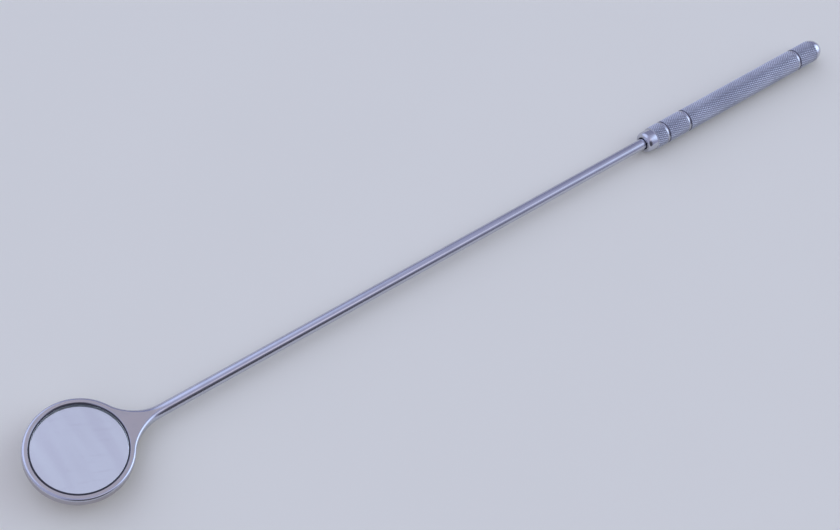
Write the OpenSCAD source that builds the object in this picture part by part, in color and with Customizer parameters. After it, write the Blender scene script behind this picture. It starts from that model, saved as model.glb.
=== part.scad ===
// Long-handled mouth mirror.
//
// A round glass mirror is cemented into a turned steel frame. The frame's neck is
// brazed to a slim shaft, and the shaft screws into the nose of a hollow knurled
// handle. The mirror's face leans back towards the handle.
//
// X is the shaft's axis, from the mirror (-X) to the handle's tail (+X). Z is up,
// on the side that the mirror faces. The origin is on the axis, half-way along the
// handle's long grip. All sizes are in millimetres and all angles in degrees.

/* [Mirror head] */
// Diameter of the glass
glass_d = 43; // [34:0.5:52]
// Thickness of the glass
glass_t = 2; // [1.5:0.1:2.5]
// How far the glass lies below the rim of the frame
glass_sink = 0.3; // [0.1:0.05:0.5]
// Thickness of the reflecting film with its protective coat
film_t = 0.1; // [0.05:0.01:0.2]
// Thickness of the cement that beds the glass
cement_t = 0.6; // [0.3:0.1:1]
// Width of the sealing bead around the glass
seal_w = 0.7; // [0.5:0.05:1]
// Width of the frame's rim outside the sealing bead
rim_w = 2.8; // [2.2:0.1:5]
// Thickness of the frame from its face to its back
head_t = 6; // [5:0.1:8]
// Radius that rounds the outer edges of the frame
head_edge_r = 1.2; // [0.6:0.1:1.6]
// Bevel on the inner edge of the rim
rim_bevel = 0.3; // [0.1:0.05:0.5]

/* [Neck] */
// Angle between the mirror's face and the shaft
head_tilt = 8.1; // [0:0.1:30]
// From the centre of the mirror to the bend where the neck joins the shaft's line
head_reach = 39.5; // [37:0.5:70]
// Length of the straight stub between the bend and the brazed seam
stub_l = 12; // [10:0.5:30]
// Length of the shaft's spigot inside the stub
spigot_l = 8; // [4:0.5:9]
// Width of the shoulder around the spigot
spigot_step = 1; // [0.6:0.1:1.5]

/* [Shaft] */
// Diameter of the shaft
shaft_d = 6; // [4.8:0.1:7.4]
// Free length from the handle's nose to the bend in the neck
shaft_reach = 298; // [80:1:400]

/* [Handle] */
// Diameter of the knurled grip
grip_d = 12.7; // [10.5:0.1:18]
// Wall of the hollow grip
grip_wall = 1.6; // [1.2:0.1:2.2]
// Length of the long grip, between the middles of the grooves at its two ends
grip_l = 85; // [50:1:140]
// Length of the band in front of the long grip, between the middles of its grooves
band_l = 15.5; // [8:0.5:30]
// Length of the front band, from the grip's front end to the middle of its groove
front_l = 8; // [4:0.5:20]
// Length behind the long grip, from the middle of its groove to the grip's end
tail_l = 13.6; // [10:0.1:30]
// Width of the turned grooves
groove_w = 2.1; // [1:0.1:3]
// Depth of the turned grooves
groove_deep = 0.45; // [0.2:0.05:0.6]
// Chamfer on the ends of the grip
grip_chamfer = 0.3; // [0.1:0.05:0.5]

/* [Nose bush] */
// Length of the rounded nose
nose_l = 2.3; // [1:0.1:4]
// Length of the smooth collar between the nose and the knurling
collar_l = 3.9; // [2:0.1:10]
// Step from the knurling down to the collar
collar_step = 0.5; // [0.3:0.05:0.8]
// Width of the flat lip around the mouth of the nose
lip_w = 0.9; // [0.5:0.05:1]
// Length of the guide bore that keeps the shaft in line
guide_l = 6; // [4:0.5:12]

/* [Screw joint] */
// Width of the shoulder between the shaft and its threaded end
shoulder_w = 0.5; // [0.3:0.05:0.8]
// Length of the threaded end
thread_l = 8.6; // [4:0.1:12]
// Length of the bush behind the threaded end
bush_tail_l = 0.8; // [0.3:0.1:3]
// Depth of the gland, the wide mouth around the shaft
gland_l = 4; // [3:0.1:6]
// Gap between the shaft and the wall of the gland
gland_gap = 0.55; // [0.5:0.05:0.6]
// Thickness of the sealing ring's cord
ring_cord_d = 1; // [0.9:0.05:1.1]
// Depth of the sealing ring's middle behind the nose
ring_depth = 1.8; // [1.2:0.1:2.4]

/* [Tail plug] */
// Length of the polished dome
dome_l = 6.6; // [4:0.1:12]
// Step from the knurling down to the dome
dome_step = 0.12; // [0.05:0.01:0.3]
// Length of the plug's spigot inside the grip
plug_l = 8; // [4:0.5:9]

/* [Fits] */
// Radial clearance of the shaft and its thread in the nose bush
running_gap = 0.05; // [0.02:0.01:0.1]
// Clearance between the sealing ring and its groove
ring_gap = 0.03; // [0.02:0.01:0.05]
// Radial clearance of the parts that are pressed, brazed or cemented together
fixed_gap = 0.01; // [0:0.005:0.02]

/* [Hidden] */
$fn = 96;

// Number of steps in a quarter turn of a rounded profile
arc_steps = 12;
// How far the faces of the neck's web lie under those of the frame
web_sink = 0.05;
// Overlap that joins two solids of one piece
join = 0.5;
// How far a cutting tool reaches past the surface that it cuts
cut = 1;

// Mirror head, in its own frame: origin at the middle of the rim's face plane, with the
// neck along +X and the mirror's face towards +Z
glass_r = glass_d / 2;
seat_r = glass_r + seal_w;
head_r = seat_r + rim_w;
glass_z = -glass_sink - glass_t;
film_z = glass_z - film_t;
seat_z = film_z - cement_t;

// Neck: an arc that is tangent to the frame and to the stub at the bend
shaft_r = shaft_d / 2;
neck_arc_r = (pow(head_reach, 2) + pow(shaft_r, 2) - pow(head_r, 2)) / (2 * (head_r - shaft_r));
neck_arc_y = shaft_r + neck_arc_r;
spigot_r = shaft_r - spigot_step;

// Handle, along the axis
grip_r = grip_d / 2;
grip_bore_r = grip_r - grip_wall;
back_groove_x = grip_l / 2;
middle_groove_x = -grip_l / 2;
front_groove_x = middle_groove_x - band_l;
grip_front_x = front_groove_x - front_l;
grip_back_x = back_groove_x + tail_l;
groove_tool_r = (pow(groove_w / 2, 2) + pow(groove_deep, 2)) / (2 * groove_deep);

// Nose bush and the screw joint inside it
nose_x = grip_front_x - collar_l - nose_l;
collar_r = grip_r - collar_step;
gland_r = shaft_r + gland_gap;
guide_r = shaft_r + running_gap;
lip_r = gland_r + lip_w;
shoulder_x = nose_x + gland_l + guide_l;
thread_r = shaft_r - shoulder_w;
thread_end_x = shoulder_x + thread_l;
bush_end_x = thread_end_x + bush_tail_l;
ring_x = nose_x + ring_depth;
ring_out_r = gland_r - running_gap;
ring_mid_r = ring_out_r - ring_cord_d / 2;
ring_groove_r = ring_out_r - ring_cord_d - ring_gap;
ring_groove_w = ring_cord_d + 2 * ring_gap;

// Shaft
bend_x = nose_x - shaft_reach;
seam_x = bend_x + stub_l;

// Tail plug
dome_r = grip_r - dome_step;
dome_x = grip_back_x;

// Points of a quarter of an ellipse about a centre, from angle 0 to 90
function quarter(centre, size) =
    [for (i = [0:arc_steps]) centre + [size.x * cos(90 * i / arc_steps), size.y * sin(90 * i / arc_steps)]];

function reversed(points) = [for (i = [len(points) - 1:-1:0]) points[i]];

// A turned piece on the shaft's axis, from points of radius and place along the axis
module turned(points) {
    rotate([0, 90, 0])
        rotate_extrude()
            polygon(points);
}

// A round bar or bore on the shaft's axis
module bar(x0, x1, r) {
    translate([x0, 0, 0])
        rotate([0, 90, 0])
            cylinder(h = x1 - x0, r = r);
}

// Places the mirror head's own frame at the end of the neck
module at_head() {
    translate([bend_x, 0, 0])
        rotate([0, head_tilt, 0])
            translate([-head_reach, 0, head_t / 2])
                children();
}

// A disc of the mirror head between two heights
module head_disc(z0, z1, r) {
    translate([0, 0, z0])
        cylinder(h = z1 - z0, r = r);
}

// Turned cup of the frame before its seat is bored
module frame_cup() {
    rounded_r = head_r - head_edge_r;
    edge = [head_edge_r, head_edge_r];
    top_edge = quarter([rounded_r, -head_edge_r], edge);
    bottom_edge = [for (p = reversed(top_edge)) [p.x, -head_t - p.y]];
    rotate_extrude()
        polygon(concat([[0, -head_t]], bottom_edge, top_edge, [[0, 0]]));
}

// Web that widens from the bend of the neck to the frame, with arcs for its sides. Its
// faces lie just under those of the frame and the stub.
module neck_web() {
    touch_y = head_r * sin(atan2(neck_arc_y, head_reach));
    translate([0, 0, -head_t / 2])
        linear_extrude(height = head_t - 2 * web_sink, center = true)
            difference() {
                translate([0, -touch_y])
                    square([head_reach, 2 * touch_y]);
                for (side = [-1, 1])
                    translate([head_reach, side * neck_arc_y])
                        circle(r = neck_arc_r + web_sink);
            }
}

module mirror_frame() {
    color("silver")
        difference() {
            union() {
                at_head() {
                    difference() {
                        union() {
                            frame_cup();
                            neck_web();
                        }
                        head_disc(seat_z, cut, seat_r);
                        translate([0, 0, -rim_bevel])
                            cylinder(h = cut, r1 = seat_r, r2 = seat_r + cut);
                    }
                }
                translate([bend_x, 0, 0])
                    sphere(r = shaft_r);
                bar(bend_x, seam_x, shaft_r);
            }
            bar(seam_x - spigot_l - fixed_gap, seam_x + cut, spigot_r + fixed_gap);
        }
}

module mirror_glass() {
    color("lightcyan")
        at_head()
            head_disc(glass_z, -glass_sink, glass_r);
}

module mirror_silvering() {
    color("lightsteelblue")
        at_head()
            head_disc(film_z, glass_z, glass_r);
}

module glass_cement() {
    color("wheat")
        at_head()
            head_disc(seat_z, film_z, seat_r - fixed_gap);
}

// Bead that fills the gap between the glass and the wall of its seat
module glass_seal() {
    color("dimgray")
        at_head()
            difference() {
                head_disc(film_z, -glass_sink, seat_r - fixed_gap);
                head_disc(film_z - cut, cut, glass_r + fixed_gap);
            }
}

// Shaft with its brazed spigot, its groove for the sealing ring and its threaded end
module shaft_rod() {
    color("lightslategray")
        difference() {
            union() {
                bar(seam_x - spigot_l, seam_x + join, spigot_r);
                bar(seam_x, shoulder_x - running_gap, shaft_r);
                bar(shoulder_x - join, thread_end_x, thread_r);
            }
            difference() {
                bar(ring_x - ring_groove_w / 2, ring_x + ring_groove_w / 2, shaft_r + cut);
                bar(ring_x - ring_groove_w, ring_x + ring_groove_w, ring_groove_r);
            }
        }
}

module shaft_seal_ring() {
    color("black")
        translate([ring_x, 0, 0])
            rotate([0, 90, 0])
                rotate_extrude()
                    translate([ring_mid_r, 0])
                        circle(r = ring_cord_d / 2);
}

// Bush with a rounded nose and a collar outside the grip, and the gland, guide bore and
// thread inside
module nose_bush() {
    nose = quarter([lip_r, nose_x + nose_l], [collar_r - lip_r, -nose_l]);
    color("gainsboro")
        difference() {
            turned(concat(
                [[0, nose_x]],
                reversed(nose),
                [[collar_r, grip_front_x],
                 [grip_bore_r - fixed_gap, grip_front_x],
                 [grip_bore_r - fixed_gap, bush_end_x],
                 [0, bush_end_x]]
            ));
            bar(nose_x - cut, nose_x + gland_l, gland_r);
            bar(nose_x, shoulder_x, guide_r);
            bar(nose_x, bush_end_x + cut, thread_r + running_gap);
        }
}

// Hollow grip with its three turned grooves
module grip_sleeve() {
    color("slategray")
        difference() {
            turned([
                [0, grip_front_x],
                [grip_r - grip_chamfer, grip_front_x],
                [grip_r, grip_front_x + grip_chamfer],
                [grip_r, grip_back_x - grip_chamfer],
                [grip_r - grip_chamfer, grip_back_x],
                [0, grip_back_x]
            ]);
            bar(grip_front_x - cut, grip_back_x + cut, grip_bore_r);
            for (x = [front_groove_x, middle_groove_x, back_groove_x])
                translate([x, 0, 0])
                    rotate([0, 90, 0])
                        rotate_extrude()
                            translate([grip_r - groove_deep + groove_tool_r, 0])
                                circle(r = groove_tool_r);
        }
}

// Domed plug that closes the tail of the grip
module tail_plug() {
    dome = quarter([0, dome_x], [dome_r, dome_l]);
    color("gainsboro")
        turned(concat(
            [[0, dome_x - plug_l],
             [grip_bore_r - fixed_gap, dome_x - plug_l],
             [grip_bore_r - fixed_gap, dome_x]],
            dome
        ));
}

mirror_glass();
mirror_silvering();
glass_cement();
glass_seal();
mirror_frame();
shaft_rod();
shaft_seal_ring();
nose_bush();
grip_sleeve();
tail_plug();
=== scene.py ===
"""Looks of a long-handled mouth mirror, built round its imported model.

Sizes are in millimetres and angles in degrees unless a name says otherwise. X is the
shaft's axis, from the mirror to the handle's tail, and Z is up, on the side that the
mirror faces. The mirror head has a frame of its own, tilted towards the handle, with
its origin at the middle of the rim's face.
"""

import logging
import math
from collections.abc import Mapping, Sequence
from dataclasses import dataclass, field
from enum import Enum
from typing import Union

import bmesh
import bpy
import numpy as np
from mathutils import Matrix, Vector


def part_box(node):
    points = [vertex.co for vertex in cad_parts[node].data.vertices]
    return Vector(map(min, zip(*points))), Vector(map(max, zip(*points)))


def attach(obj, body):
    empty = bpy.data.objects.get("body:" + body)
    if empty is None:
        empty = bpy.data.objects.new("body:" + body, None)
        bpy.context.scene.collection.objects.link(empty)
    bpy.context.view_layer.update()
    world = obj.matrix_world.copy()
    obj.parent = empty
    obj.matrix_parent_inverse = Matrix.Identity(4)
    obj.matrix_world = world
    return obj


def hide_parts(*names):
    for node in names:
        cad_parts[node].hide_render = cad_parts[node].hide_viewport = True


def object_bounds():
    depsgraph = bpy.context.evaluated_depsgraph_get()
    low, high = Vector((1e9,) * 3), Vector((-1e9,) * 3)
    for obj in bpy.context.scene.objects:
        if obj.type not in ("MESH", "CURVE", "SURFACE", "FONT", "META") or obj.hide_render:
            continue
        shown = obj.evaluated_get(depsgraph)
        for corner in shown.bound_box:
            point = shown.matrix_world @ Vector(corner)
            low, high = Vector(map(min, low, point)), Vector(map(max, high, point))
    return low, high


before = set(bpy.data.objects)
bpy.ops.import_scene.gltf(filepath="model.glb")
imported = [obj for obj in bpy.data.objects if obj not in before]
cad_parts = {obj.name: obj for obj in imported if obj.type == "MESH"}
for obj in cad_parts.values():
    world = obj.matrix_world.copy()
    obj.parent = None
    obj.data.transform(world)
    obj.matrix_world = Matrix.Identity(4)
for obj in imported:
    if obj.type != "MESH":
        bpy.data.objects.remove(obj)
CAD_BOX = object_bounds()

MM = 0.001
TURN = 2 * math.pi
LOG = logging.getLogger("mouth_mirror")

# Carries millimetres into the row's metres
ROW = Matrix.Scale(MM, 4)
# A factor of one on each of three parts
ALIKE = (1.0, 1.0, 1.0)
# Sizes under this count as nothing
TINY = 1e-6
# A gap or an overlap that is too small to see
HAIR = 0.01
# How far inside an edge an extra ring keeps the shading of a long face straight
HOLD = 0.3
# How many sides a full turn has on the glass, the bead, the shaft and the handle's two ends
FINE_SIDES = 160
BEAD_SIDES = 192
ROD_SIDES = 96
BUSH_SIDES = 128

Triple = tuple[float, float, float]
Tint = Triple
Value = Union[float, tuple, "Signal"]
Colour = Union[Tint, bpy.types.NodeSocket]


# ---------------------------------------------------------------- finishes


class Signal:
    """A number that changes over a surface or a sky: one output of a node tree."""

    def __init__(self, tree: "NodeTree", socket: bpy.types.NodeSocket) -> None:
        """Wraps an output.

        Args:
            tree: The tree that the output belongs to.
            socket: The output socket.
        """
        self.tree = tree
        self.socket = socket

    def __add__(self, other: Value) -> "Signal":
        """This number plus another."""
        return self.tree.maths("ADD", self, other)

    def __radd__(self, other: Value) -> "Signal":
        """Another number plus this one."""
        return self.tree.maths("ADD", other, self)

    def __sub__(self, other: Value) -> "Signal":
        """This number less another."""
        return self.tree.maths("SUBTRACT", self, other)

    def __mul__(self, other: Value) -> "Signal":
        """This number times another."""
        return self.tree.maths("MULTIPLY", self, other)

    def __rmul__(self, other: Value) -> "Signal":
        """Another number times this one."""
        return self.tree.maths("MULTIPLY", other, self)

    def __truediv__(self, other: Value) -> "Signal":
        """This number over another."""
        return self.tree.maths("DIVIDE", self, other)

    def clamped(self) -> "Signal":
        """This number, held between 0 and 1."""
        return Signal(self.tree, self.tree.node("ShaderNodeClamp", {}, {0: self}).outputs[0])

    def between(self, low: float, high: float) -> "Signal":
        """A smooth rise from 0 to 1 as this number goes from low to high.

        Args:
            low: Where the rise starts.
            high: Where it ends.

        Returns:
            The risen number.
        """
        settings = {"interpolation_type": "SMOOTHSTEP"}
        sockets = {0: self, 1: low, 2: high, 3: 0.0, 4: 1.0}
        made = self.tree.node("ShaderNodeMapRange", settings, sockets)
        return Signal(self.tree, made.outputs[0])


@dataclass(frozen=True)
class Cloud:
    """Cloudy noise whose middle is stretched to run from 0 to 1.

    Attributes:
        scale: How many clouds there are to a millimetre.
        detail: How many finer layers it has.
        low: Noise up to which it is 0.
        high: Noise from which it is 1.
        stretch: What x, y and z are multiplied by.
    """

    scale: float
    detail: float
    low: float
    high: float
    stretch: Triple = ALIKE


class NodeTree:
    """A node tree while it is being built."""

    def __init__(self, tree: bpy.types.NodeTree) -> None:
        """Clears a tree.

        Args:
            tree: The tree.
        """
        self.tree = tree
        tree.nodes.clear()

    def node(
        self, kind: str, settings: Mapping[str, object], sockets: Mapping[object, object]
    ) -> bpy.types.Node:
        """Adds a node.

        Args:
            kind: The node's type.
            settings: Its properties, set first.
            sockets: What goes into its inputs, by name or number.

        Returns:
            The node.
        """
        made = self.tree.nodes.new(kind)
        for name, value in settings.items():
            setattr(made, name, value)
        for name, value in sockets.items():
            self.feed(made.inputs[name], value)
        return made

    def feed(self, socket: bpy.types.NodeSocket, value: object) -> None:
        """Links a value into an input, or sets it there.

        Args:
            socket: The input.
            value: A signal, an output socket, or a plain value.
        """
        if isinstance(value, Signal):
            self.tree.links.new(value.socket, socket)
        elif isinstance(value, bpy.types.NodeSocket):
            self.tree.links.new(value, socket)
        else:
            socket.default_value = value

    def maths(self, operation: str, first: Value, second: Value) -> Signal:
        """Adds a Math node.

        Args:
            operation: What it does.
            first: Its first number.
            second: Its second number.

        Returns:
            The result.
        """
        made = self.node("ShaderNodeMath", {"operation": operation}, {0: first, 1: second})
        return Signal(self, made.outputs[0])

    def vector(self, operation: str, first: object, second: object) -> bpy.types.NodeSocket:
        """Adds a Vector Math node.

        Args:
            operation: What it does.
            first: Its first vector.
            second: Its second vector.

        Returns:
            The vector that comes out.
        """
        settings = {"operation": operation}
        return self.node("ShaderNodeVectorMath", settings, {0: first, 1: second}).outputs[0]

    def dot(self, first: object, second: object) -> Signal:
        """The dot product of two vectors."""
        settings = {"operation": "DOT_PRODUCT"}
        made = self.node("ShaderNodeVectorMath", settings, {0: first, 1: second})
        return Signal(self, made.outputs["Value"])


class FinishTree(NodeTree):
    """A material's node tree, with the shader that ends it."""

    def __init__(self, name: str) -> None:
        """Starts a material with a Principled shader and nothing else.

        Args:
            name: The material's name.
        """
        self.material = bpy.data.materials.new(name)
        self.material.use_nodes = True
        super().__init__(self.material.node_tree)
        self.shader = self.node("ShaderNodeBsdfPrincipled", {}, {})
        self.node("ShaderNodeOutputMaterial", {}, {"Surface": self.shader.outputs[0]})

    def surface(self, **values: object) -> None:
        """Sets inputs of the shader.

        Args:
            values: What goes in, by the input's name in lower case with underscores.
        """
        names = {name.lower().replace(" ", "_"): name for name in self.shader.inputs.keys()}
        for key, value in values.items():
            self.feed(self.shader.inputs[names[key]], value)

    def place(self) -> bpy.types.NodeSocket:
        """The point on the surface, in millimetres in the row's frame."""
        where = self.node("ShaderNodeTexCoord", {}, {}).outputs["Object"]
        return self.vector("MULTIPLY", where, (1 / MM, 1 / MM, 1 / MM))

    def noise(self, vector: bpy.types.NodeSocket, scale: float, detail: float) -> Signal:
        """Cloudy noise between 0 and 1.

        Args:
            vector: Where it is read.
            scale: How many clouds there are to a unit of the vector.
            detail: How many finer layers it has.

        Returns:
            The noise.
        """
        sockets = {"Vector": vector, "Scale": scale, "Detail": detail}
        return Signal(self, self.node("ShaderNodeTexNoise", {}, sockets).outputs[0])

    def cloud(self, vector: bpy.types.NodeSocket, cloud: Cloud) -> Signal:
        """Noise stretched as a cloud says."""
        where = self.vector("MULTIPLY", vector, cloud.stretch)
        return self.noise(where, cloud.scale, cloud.detail).between(cloud.low, cloud.high)

    def from_axis(self, vector: bpy.types.NodeSocket) -> Signal:
        """How far a point is from the shaft's axis."""
        across = self.vector("MULTIPLY", vector, (0.0, 1.0, 1.0))
        made = self.node("ShaderNodeVectorMath", {"operation": "LENGTH"}, {0: across})
        return Signal(self, made.outputs["Value"])

    def blended(self, share: Value, first: Colour, second: Colour) -> bpy.types.NodeSocket:
        """A colour between two others.

        Args:
            share: 0 for the first colour and 1 for the second.
            first: The first colour, or a socket that gives it.
            second: The second colour, or a socket that gives it.

        Returns:
            The mixed colour.
        """
        sockets = {0: share}
        for number, colour in ((6, first), (7, second)):
            sockets[number] = (*colour, 1.0) if isinstance(colour, tuple) else colour
        return self.node("ShaderNodeMix", {"data_type": "RGBA"}, sockets).outputs[2]

    def bump(self, height: Signal, depth: float) -> None:
        """Roughens the surface's normal.

        Args:
            height: The relief, from 0 to 1.
            depth: How deep it is, in millimetres.
        """
        sockets = {"Height": height, "Distance": depth * MM, "Strength": 1.0}
        self.surface(normal=self.node("ShaderNodeBump", {}, sockets).outputs["Normal"])


class Grain(Enum):
    """How the tool marks of a steel surface run, as what x, y and z are multiplied by."""

    TURNED = (1.0, 0.03, 0.03)
    DRAWN = (0.02, 1.0, 1.0)
    EVEN = (1.0, 1.0, 1.0)


@dataclass(frozen=True)
class Steel:
    """Bare stainless steel, from satin to polished.

    Attributes:
        name: The material's name.
        tint: Its colour where it is clean.
        dull: Its colour where it is dulled by handling.
        roughness: Its roughness where it is clean.
        dulling: How much rougher it is where it is dulled.
        grain: How its tool marks run.
        grain_size: Width of a tool mark.
        grain_depth: Depth of a tool mark.
        fades_to: The clean and dull colours that it goes over to, if it fades.
        fade: Where along the row the fade starts and ends.
    """

    name: str
    tint: Tint
    dull: Tint
    roughness: float
    dulling: float
    grain: Grain
    grain_size: float
    grain_depth: float
    fades_to: Union[tuple[Tint, Tint], None] = None
    fade: tuple[float, float] = (0.0, 1.0)

    PATCHES = Cloud(1 / 9.0, 4.0, 0.42, 0.68)
    SPECKS = Cloud(1.7, 5.0, 0.66, 0.78)
    PATCH_SHARE = 0.75
    SPECK_SHARE = 0.5
    MARK_DETAIL = 3.0
    MARK_SHARE = 0.5

    def material(self) -> bpy.types.Material:
        """Builds the material."""
        tree = FinishTree(self.name)
        place = tree.place()
        drawn = tree.vector("MULTIPLY", place, self.grain.value)
        marks = tree.noise(drawn, 1 / self.grain_size, self.MARK_DETAIL)
        patches, specks = tree.cloud(place, self.PATCHES), tree.cloud(place, self.SPECKS)
        dulled = (self.PATCH_SHARE * patches + self.SPECK_SHARE * specks).clamped()
        scratched = self.MARK_SHARE * self.dulling * marks
        clean, worn = self.tint, self.dull
        if self.fades_to is not None:
            gone = tree.dot(place, (1.0, 0.0, 0.0)).between(*self.fade)
            clean = tree.blended(gone, clean, self.fades_to[0])
            worn = tree.blended(gone, worn, self.fades_to[1])
        tree.surface(
            base_color=tree.blended(dulled, clean, worn),
            roughness=self.roughness + self.dulling * dulled + scratched,
            metallic=1.0,
        )
        tree.bump(marks, self.grain_depth)
        return tree.material


@dataclass(frozen=True)
class KnurledSteel:
    """Diamond-knurled steel: bright worn crests over dull roots, which are painted darker as shade
    in the knurl's hollows.

    Attributes:
        name: The material's name.
        crest: Colour of the crests.
        root: Colour of the roots, darkened as painted shade.
        crest_r: Radius of the crests about the shaft's axis.
        depth: Depth of the roots under the crests.
        roughness: Roughness of the crests.
        root_roughness: Roughness of the roots.
    """

    name: str
    crest: Tint
    root: Tint
    crest_r: float
    depth: float
    roughness: float
    root_roughness: float

    WEAR = Cloud(1 / 12.0, 4.0, 0.35, 0.7)
    WEAR_SHARE = 0.3
    GRIT_SCALE = 3.0
    GRIT_DETAIL = 4.0
    GRIT_SHARE = 0.25
    GRIT_DEPTH = 0.01

    def material(self) -> bpy.types.Material:
        """Builds the material."""
        tree = FinishTree(self.name)
        place = tree.place()
        rise = tree.from_axis(place) - (self.crest_r - self.depth)
        height = (rise / self.depth).clamped()
        wear = tree.cloud(place, self.WEAR)
        grit = tree.noise(place, self.GRIT_SCALE, self.GRIT_DETAIL)
        # Painted shade: the colour darkens from the crests down into the roots; the wear cloud
        # dims the crests
        worn = height * (1 - self.WEAR_SHARE + self.WEAR_SHARE * wear)
        bright = (worn + self.GRIT_SHARE * (grit - 0.5)).clamped()
        tree.surface(
            base_color=tree.blended(bright, self.root, self.crest),
            roughness=self.root_roughness + (self.roughness - self.root_roughness) * bright,
            metallic=1.0,
        )
        tree.bump(grit, self.GRIT_DEPTH)
        return tree.material


@dataclass(frozen=True)
class ClearGlass:
    """Clear float glass with a faint body colour, dust and the wipe marks of a cloth.

    Attributes:
        name: The material's name.
        tint: Its body colour.
        smear: Roughness of its wipe marks.
    """

    name: str
    tint: Tint
    smear: float

    WIPES = Cloud(1.0, 3.0, 0.45, 0.75, (0.16, 0.03, 0.05))
    DUST = Cloud(2.2, 5.0, 0.7, 0.85)
    DUST_ROUGHNESS = 0.05
    REFRACTION = 1.5

    def material(self) -> bpy.types.Material:
        """Builds the material."""
        tree = FinishTree(self.name)
        place = tree.place()
        wipes, dust = tree.cloud(place, self.WIPES), tree.cloud(place, self.DUST)
        tree.surface(
            base_color=(*self.tint, 1.0),
            roughness=self.smear * wipes + self.DUST_ROUGHNESS * dust,
            transmission_weight=1.0,
            ior=self.REFRACTION,
        )
        return tree.material


@dataclass(frozen=True)
class Silvering:
    """Silver film under the glass, with faint cloudy bands from its laying.

    Attributes:
        name: The material's name.
        bright: Its colour.
        cloudy: Its colour in the bands.
        haze: Its roughness in the bands.
        wipe_turn: Angle between the wiping strokes and the neck.
    """

    name: str
    bright: Tint
    cloudy: Tint
    haze: float
    wipe_turn: float = 21.0

    BANDS = Cloud(1.0, 2.0, 0.38, 0.62, (0.085, 0.012, 0.085))
    BAND_SHARE = 0.75
    STROKES = Cloud(1.0, 4.0, 0.56, 0.74, (0.05, 0.55, 0.3))
    STROKE_SHARE = 0.6
    POLISH = 0.01

    def material(self) -> bpy.types.Material:
        """Builds the material."""
        tree = FinishTree(self.name)
        place = tree.place()
        sockets = {"Vector": place, "Angle": math.radians(self.wipe_turn)}
        turned = tree.node("ShaderNodeVectorRotate", {"rotation_type": "Z_AXIS"}, sockets)
        bands = tree.cloud(place, self.BANDS)
        strokes = tree.cloud(turned.outputs[0], self.STROKES)
        share = (self.BAND_SHARE * bands + self.STROKE_SHARE * strokes).clamped()
        tree.surface(
            base_color=tree.blended(share, self.bright, self.cloudy),
            roughness=self.POLISH + self.haze * share,
            metallic=1.0,
        )
        return tree.material


@dataclass(frozen=True)
class Filler:
    """Rubber, sealant or cement: a dull filler with grain and pores.

    Attributes:
        name: The material's name.
        colour: Its main colour.
        faded: Its colour where it has faded.
        roughness: Its roughness.
        grain_size: Size of its grain.
        grain_depth: Depth of its grain.
    """

    name: str
    colour: Tint
    faded: Tint
    roughness: float
    grain_size: float
    grain_depth: float

    FADE = Cloud(0.4, 3.0, 0.4, 0.7)
    GRAIN_DETAIL = 4.0
    GRAIN_SHARE = 0.2

    def material(self) -> bpy.types.Material:
        """Builds the material."""
        tree = FinishTree(self.name)
        place = tree.place()
        grain = tree.noise(place, 1 / self.grain_size, self.GRAIN_DETAIL)
        tree.surface(
            base_color=tree.blended(tree.cloud(place, self.FADE), self.colour, self.faded),
            roughness=self.roughness + self.GRAIN_SHARE * (grain - 0.5),
        )
        tree.bump(grain, self.grain_depth)
        return tree.material


Finish = Union[Steel, KnurledSteel, ClearGlass, Silvering, Filler]


# ---------------------------------------------------------------- meshes


@dataclass(frozen=True)
class Corner:
    """A corner of a turned profile.

    Attributes:
        x: Place along the axis.
        r: Radius about the axis.
        blend: Radius that rounds the corner.
    """

    x: float
    r: float
    blend: float = 0.0


def rounded(corners: Sequence[Corner], steps: int = 6) -> np.ndarray:
    """Points of a closed profile with its corners rounded.

    Args:
        corners: The corners in order.
        steps: How many steps each rounding takes.

    Returns:
        Rows of place and radius.
    """
    points = []
    places = [np.array([corner.x, corner.r]) for corner in corners]
    for i, corner in enumerate(corners):
        if corner.blend <= 0:
            points.append(places[i])
            continue
        back = places[i - 1] - places[i]
        ahead = places[(i + 1) % len(places)] - places[i]
        back /= np.linalg.norm(back)
        ahead /= np.linalg.norm(ahead)
        half = 0.5 * math.acos(float(np.clip(back @ ahead, -1, 1)))
        reach = corner.blend / math.tan(half)
        inward = (back + ahead) / np.linalg.norm(back + ahead)
        middle = places[i] + inward * corner.blend / math.sin(half)
        start = places[i] + back * reach - middle
        end = places[i] + ahead * reach - middle
        sweep = math.acos(float(np.clip(start @ end / corner.blend**2, -1, 1)))
        for k in range(steps + 1):
            t = k / steps
            arm = math.sin((1 - t) * sweep) * start + math.sin(t * sweep) * end
            points.append(middle + arm / math.sin(sweep))
    return np.array(points)


def quarter_ellipse(
    start: tuple[float, float], end: tuple[float, float], steps: int
) -> list[Corner]:
    """Corners along a quarter of an ellipse, which leaves its start across the axis.

    Args:
        start: Place and radius where it starts, on the flat side.
        end: Place and radius where it ends, on the steep side.
        steps: How many steps it takes.

    Returns:
        The corners.
    """
    corners = []
    for k in range(steps + 1):
        angle = 0.5 * math.pi * k / steps
        x = end[0] + (start[0] - end[0]) * math.cos(angle)
        r = start[1] + (end[1] - start[1]) * math.sin(angle)
        corners.append(Corner(x, r))
    return corners


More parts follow.
